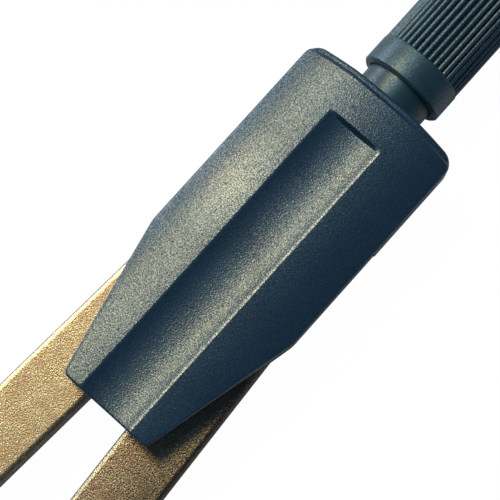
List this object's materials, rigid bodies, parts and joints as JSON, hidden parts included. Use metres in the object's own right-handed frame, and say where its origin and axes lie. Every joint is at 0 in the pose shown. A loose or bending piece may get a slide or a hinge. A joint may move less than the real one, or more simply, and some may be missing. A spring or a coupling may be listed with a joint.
{
  "type": "drafting divider",
  "caption": "Drafting dividers with a geared twin-pivot head in a tapered two-part cover, a fluted handle with a smooth collar, flat straight legs and clamped needle points.",
  "frame": {"origin": "under the middle of the tool's bounding box, on the plane that the flat land of the head's back lies on", "axes": "+Y along the tool from the needle points to the handle, +Z out of the front face with the trough, +X to the right leg"},
  "size_m": [0.0268, 0.146, 0.0084],
  "materials": {
    "head_plastic": "dark blue-green moulded plastic, fine spark-eroded grain, satin",
    "grip_plastic": "dark blue-green moulded plastic, fluted, semi-matt",
    "leg_metal": "satin grained pale brass with polished rounded edges",
    "turned_brass": "turned brass, fine machining lines",
    "screw_steel": "turned steel, lightly brushed",
    "needle_steel": "ground and polished steel",
    "washer_nylon": "natural nylon, matt"
  },
  "bodies": {
    "head": {"head_front_cover": "head_plastic", "head_back_cover": "head_plastic", "neck_stem": "head_plastic", "handle_grip": "grip_plastic", "handle_end_cap": "grip_plastic", "cover_screws": "screw_steel", "left_pivot_bush": "turned_brass", "left_pivot_screw": "screw_steel", "left_threaded_insert": "turned_brass", "left_slide_washer": "washer_nylon", "left_spring_washer": "screw_steel", "right_pivot_bush": "turned_brass", "right_pivot_screw": "screw_steel", "right_threaded_insert": "turned_brass", "right_slide_washer": "washer_nylon", "right_spring_washer": "screw_steel"},
    "right_leg": {"right_leg": "leg_metal"},
    "right_needle": {"right_needle": "needle_steel"},
    "right_clamp_screw": {"right_clamp_screw": "turned_brass"},
    "left_leg": {"left_leg": "leg_metal"},
    "left_needle": {"left_needle": "needle_steel"},
    "left_clamp_screw": {"left_clamp_screw": "turned_brass"}
  },
  "joints": [
    {"name": "right_leg_open", "type": "hinge", "parent": "head", "child": "right_leg", "pos_m": [0.0032, 0.03893, 0.0042], "axis": [0, 0, 1], "range_deg": [-3.7, 33.3]},
    {"name": "left_leg_open", "type": "hinge", "parent": "head", "child": "left_leg", "pos_m": [-0.0032, 0.03893, 0.0042], "axis": [0, 0, -1], "range_deg": [-3.7, 33.3]},
    {"name": "right_needle_slide", "type": "slide", "parent": "right_leg", "child": "right_needle", "axis": [-0.001, -1, 0], "range_m": [-0.002, 0.002]},
    {"name": "right_clamp_turn", "type": "hinge", "parent": "right_leg", "child": "right_clamp_screw", "pos_m": [0.01053, -0.05078, 0.0042], "axis": [0.9979, 0.0645, 0], "range_deg": [0, 360]},
    {"name": "left_needle_slide", "type": "slide", "parent": "left_leg", "child": "left_needle", "axis": [0.001, -1, 0], "range_m": [-0.002, 0.002]},
    {"name": "left_clamp_turn", "type": "hinge", "parent": "left_leg", "child": "left_clamp_screw", "pos_m": [-0.01053, -0.05078, 0.0042], "axis": [-0.9979, 0.0645, 0], "range_deg": [0, 360]}
  ],
  "couplings": [
    {"joint": "left_leg_open", "follows": "right_leg_open", "ratio": 1}
  ]
}
